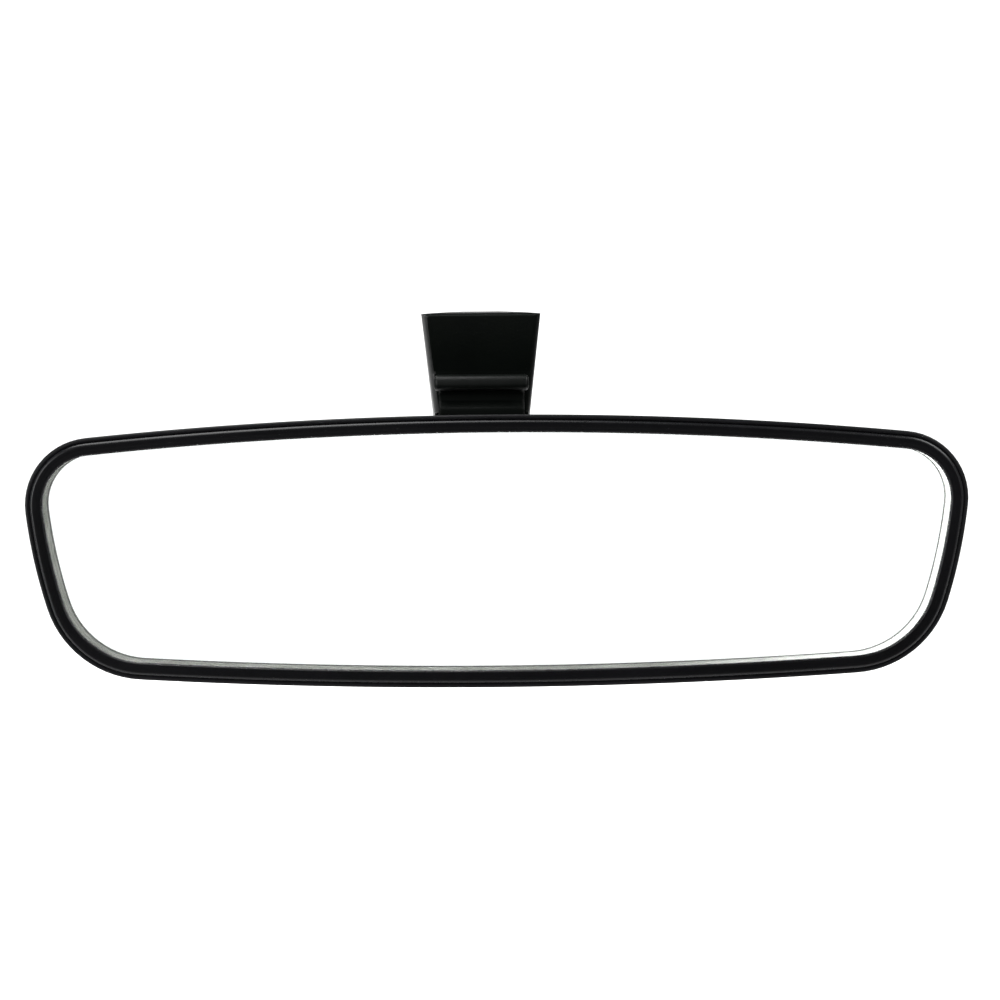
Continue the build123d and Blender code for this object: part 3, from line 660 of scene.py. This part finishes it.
# Side view of the housing, (y, z) in millimetres. Its places at the pad are measured down the windscreen
# and below the pad plane.
PAD_TOP = -24
PAD_BOTTOM = 28
GASKET = 0.8
FOOT_TOP = (-20.4, 14.4)
FOOT_HEEL = (19.4, -18.9)
FOOT_TOE = (-13.4, -13.0)
FOOT_KNEE = (-14.9, -1.6)
INNER_FRONT = [(-17.9, 12.0), (-17.2, 12.9)]
INNER_UNDER = [(16.5, -16.2), (-11.2, -11.2), (-12.8, -1.2)]
INNER_TOP = -21
INNER_BOTTOM = 26
INNER_DEPTH = -4
FOOT_WALL = 2

# Its half width at z = 0 at the front, and how it widens upwards and over its length.
FOOT_HALF = 14.6
FOOT_DRAFT = 0.125
FOOT_FLARE = 2
FOOT_FRONT = -24
FOOT_LENGTH = 50

# Roundings: full on the long front edges of the cheeks, a share of it elsewhere, none at the pad.
FOOT_ROUND = 2.6
EDGE_SHARE = 0.3
ROUND_STEPS = 6
PAD_EDGE = 0.9             # edges less far below the pad plane stay sharp
CROSSING_EDGE = 6          # an edge that runs less far across the housing lies on a cheek
CHEEK_EDGE = 5             # shorter edges of a cheek get the share
CHEEK_FRONT = -12

# Normals of the faces that get the painted highlight, on the left cheek, or the painted shade, on the underside.
CHEEK_NORMAL = -0.2
UNDER_NORMAL = -0.7

# Openings: the channel's mouth, across, down and out of the pad plane, and the arm's hole.
MOUTH = ((-10.5, 10, -6.5), (10.5, 40, 1))
ARM_HOLE = ((-8.5, -12.8, -20), (8.5, -2.2, -10))

# Neck cover, in millimetres: side views of the rolled lip, of the waist below it and of its cheeks.
NECK_FOOT = -15.6
LIP_SIDE = [(-14.87, -2.2), (-20.6, -2.2), (-20.6, -6.4), (-16.9, -6.9), (-14.2, -7.0)]
LIP_ROUNDS = [0.3, 2, 1.9, 0.5, 0.2]
LIP_HALF = 13.25
LIP_ROLL = 1.1
WAIST_SIDE = [(-14.7, -3.4), (-18.6, -3.4), (-18.6, -6.67), (-16.9, -6.9), (-16.9, -9.4), (-19, -11.7),
              (-19, NECK_FOOT), (-17, NECK_FOOT), (-17, -13.2), (-13.5, -12.6)]
WAIST_ROUNDS = [0.3, 0.6, 0.5, 1.5, 1.1, 1.6, 0.6, 0.6, 1, 0.3]
WAIST_HALF = 12.0
WAIST_ROLL = 0.7
NECK_CHEEK = [(-18, NECK_FOOT), (-18, -13.4), (-14.2, -13.5), (-12, NECK_FOOT)]
CHEEK_MIDDLE = 11
CHEEK_HALF = 1
LIP_LOWEST = -6.6          # faces above this, and not turned sideways, are the lip's
SIDEWAYS = 0.5


def pad_point(down, depth):
    """(y, z) down the windscreen and below the pad plane, in millimetres from the origin."""
    point = PAD_DOWN * down - PAD_NORMAL * depth
    return (point.y, point.z)


def half_width(y, z):
    """The housing's half width, in millimetres: it widens upwards and towards the windscreen."""
    return FOOT_HALF + FOOT_DRAFT * z + FOOT_FLARE * (y - FOOT_FRONT) / FOOT_LENGTH


def foot_solid(name, points, shrink):
    """Block over a side view in millimetres, as wide as the housing less shrink on each side."""
    profile = [(y * MM, z * MM) for y, z in points]
    return prism(name, profile, [(half_width(y, z) - shrink) * MM for y, z in points])


def scaled_box(name, corners, matrix=Matrix.Identity(4)):
    """Cutting box between two corners in millimetres."""
    low, high = ([value * MM for value in corner] for corner in corners)
    return cuboid(name, low, high, matrix)


def round_foot(shell):
    """Rounds the housing's edges, each by its own share."""
    bm = bmesh.new()
    bm.from_mesh(shell.data)
    weights = bm.edges.layers.float.new("bevel_weight_edge")
    for edge in bm.edges:
        first, second = (vert.co for vert in edge.verts)
        middle = (first + second) / 2
        on_cheek = abs(first.x - second.x) < CROSSING_EDGE * MM
        long_edge = edge.calc_length() > CHEEK_EDGE * MM
        if -middle.dot(PAD_NORMAL) < PAD_EDGE * MM:
            edge[weights] = 0
        elif on_cheek and long_edge and middle.y < CHEEK_FRONT * MM:
            edge[weights] = 1.0
        else:
            edge[weights] = EDGE_SHARE
    bm.to_mesh(shell.data)
    bm.free()
    mod = shell.modifiers.new("round", "BEVEL")
    mod.width = FOOT_ROUND * MM
    mod.segments = ROUND_STEPS
    mod.limit_method = "WEIGHT"
    apply_modifiers(shell)


def make_housing():
    """Tapered hollow housing, open towards the windscreen, for the channel and for the arm."""
    outer = [FOOT_TOP, pad_point(PAD_TOP, GASKET), pad_point(PAD_BOTTOM, GASKET), FOOT_HEEL, FOOT_TOE,
             FOOT_KNEE]
    inner = INNER_FRONT + [pad_point(down, INNER_DEPTH) for down in (INNER_TOP, INNER_BOTTOM)] + INNER_UNDER
    pad_turn = Matrix(((1, 0, 0, 0), (0, PAD_DOWN.y, PAD_NORMAL.y, 0), (0, PAD_DOWN.z, PAD_NORMAL.z, 0),
                       (0, 0, 0, 1)))
    shell = foot_solid("foot_cover", outer, 0)
    round_foot(shell)
    boolean(shell, foot_solid("foot_inner", inner, FOOT_WALL), "DIFFERENCE")
    boolean(shell, scaled_box("mouth", MOUTH, pad_turn), "DIFFERENCE")
    boolean(shell, scaled_box("arm_hole", ARM_HOLE), "DIFFERENCE")
    sharpen(shell, angle=25)
    finish_piece(shell, "foot", "foot_plastic", FOOT_BLACK, "foot_housing")
    shell.data.materials.append(CHEEK_PAINTED_HIGHLIGHT)
    shell.data.materials.append(UNDER_PAINTED_SHADE)
    for face in shell.data.polygons:
        face.use_smooth = True
        # Painted shade on the underside and painted highlight on the left cheek, as copies of the foot's black.
        if face.normal.z < UNDER_NORMAL:
            face.material_index = 2
        else:
            face.material_index = 1 if face.normal.x < CHEEK_NORMAL else 0


def make_neck_cover():
    """Snap-on cover in front of the foot: a rolled lip over a waist that flares downwards."""
    cover = soft_prism("neck_cover_skin", LIP_SIDE, LIP_ROUNDS, LIP_HALF, LIP_ROLL)
    waist = soft_prism("neck_waist", WAIST_SIDE, WAIST_ROUNDS, WAIST_HALF, WAIST_ROLL)
    boolean(cover, waist, "UNION")
    for side in (1, -1):
        wall = prism("cover_cheek", [(y * MM, z * MM) for y, z in NECK_CHEEK], [CHEEK_HALF * MM] * 4)
        wall.data.transform(Matrix.Translation((side * CHEEK_MIDDLE * MM, 0, 0)))
        boolean(cover, wall, "UNION")
    sharpen(cover, angle=35)
    finish_piece(cover, "foot", "foot_plastic", FOOT_BLACK, "neck_cover")
    cover.data.materials.append(LIP_PAINTED_HIGHLIGHT)
    for face in cover.data.polygons:
        face.use_smooth = True
        # Painted highlight: the lip's faces get the shinier copy of the foot's black.
        on_lip = face.center.z > LIP_LOWEST * MM and abs(face.normal.x) < SIDEWAYS
        face.material_index = 1 if on_lip else 0


make_housing()
make_neck_cover()

# ---------------------------------------------------------------- stage, lights and camera

FLOOR_DROP = 70 * MM       # from the object down to the floor
FLOOR_FRONT = 0.33         # floor in front of the head's face
FLOOR_BACK = 0.9           # where the floor starts to curve up
FLOOR_HALF_WIDTH = 2.5
SWEEP_RADIUS = 0.5
SWEEP_STEPS = 16
BACKDROP_HEIGHT = 2.5
WORLD_STRENGTH = 1.2

# Name, place and aim from the head's centre, width and height, and watts.
LIGHTS = [("top_left", (-0.12, -0.02, 0.32), (-0.08, 0, 0), (0.3, 0.25), 5),
          ("left", (-0.6, -0.4, 0.12), (0, 0, 0), (0.25, 0.5), 11),
          ("front_left", (-0.5, -0.8, 0.25), (0, 0, 0), (0.3, 0.5), 3),
          ("right", (0.6, -0.5, 0.15), (0, 0, 0), (0.25, 0.5), 3),
          ("top_right", (0.32, -0.04, 0.26), (0.1, 0, 0), (0.2, 0.2), 3)]


def make_stage():
    """Plain pale floor that curves up into a backdrop."""
    floor_z = cad_low.z - FLOOR_DROP
    turns = [math.pi / 2 * i / SWEEP_STEPS for i in range(1, SWEEP_STEPS + 1)]
    profile = [(HEAD.y - FLOOR_FRONT, floor_z), (FLOOR_BACK, floor_z)]
    profile += [(FLOOR_BACK + SWEEP_RADIUS * math.sin(turn),
                 floor_z + SWEEP_RADIUS - SWEEP_RADIUS * math.cos(turn)) for turn in turns]
    profile += [(FLOOR_BACK + SWEEP_RADIUS, floor_z + BACKDROP_HEIGHT)]
    verts = [Vector((x, y, z)) for y, z in profile for x in (-FLOOR_HALF_WIDTH, FLOOR_HALF_WIDTH)]
    faces = [(2 * i, 2 * i + 1, 2 * i + 3, 2 * i + 2) for i in range(len(profile) - 1)]
    sweep = make_object("floor", verts, faces)
    n = Nodes("floor_paint")
    n.set(Specular_IOR_Level=0.1)
    tone = n.noise(scale=3, detail=2)
    n.finish(n.blend(tone, (0.90, 0.90, 0.90), (0.92, 0.92, 0.92)), n.spread(tone, 0.8, 0.9))
    sweep.data.materials.append(n.material)


def make_world():
    """Even white surroundings."""
    world = bpy.data.worlds.new("studio")
    world.use_nodes = True
    background = world.node_tree.nodes["Background"]
    background.inputs["Color"].default_value = (1, 1, 1, 1)
    background.inputs["Strength"].default_value = WORLD_STRENGTH
    bpy.context.scene.world = world


def area_light(name, place, target, size, power):
    """Rectangular light that faces its target."""
    data = bpy.data.lights.new(name, "AREA")
    data.shape = "RECTANGLE"
    data.size, data.size_y = size
    data.energy = power
    lamp = bpy.data.objects.new(name, data)
    lamp.location = place
    lamp.rotation_euler = (target - place).to_track_quat("-Z", "Y").to_euler()
    bpy.context.scene.collection.objects.link(lamp)


def make_camera(distance, yaw, lift, roll, sight, lens):
    """Camera at a distance from the head's centre, with its angles in degrees.

    sight is the aim point, right of the head's centre and above it.
    """
    yaw, lift = math.radians(yaw), math.radians(lift)
    away = Vector((math.sin(yaw) * math.cos(lift), -math.cos(yaw) * math.cos(lift), math.sin(lift)))
    eye = HEAD + away * distance
    right = Vector((math.cos(yaw), math.sin(yaw), 0))
    up = right.cross(-away)
    look = (HEAD + right * sight[0] + up * sight[1] - eye).normalized()
    data = bpy.data.cameras.new("camera")
    data.lens = lens
    data.sensor_width = 36
    data.clip_start = 0.01
    camera = bpy.data.objects.new("camera", data)
    camera.location = eye
    turn = look.to_track_quat("-Z", "Y").to_matrix() @ Matrix.Rotation(math.radians(-roll), 3, "Z")
    camera.rotation_euler = turn.to_euler()
    bpy.context.scene.collection.objects.link(camera)
    bpy.context.scene.camera = camera


make_stage()
make_world()
for name, place, aim, size, power in LIGHTS:
    area_light(name, HEAD + Vector(place), HEAD + Vector(aim), size, power)
make_camera(distance=0.54, yaw=-0.5, lift=6.0, roll=0.47, sight=(0.6 * MM, 13.84 * MM), lens=73.4)
bpy.context.scene.view_settings.view_transform = "Standard"
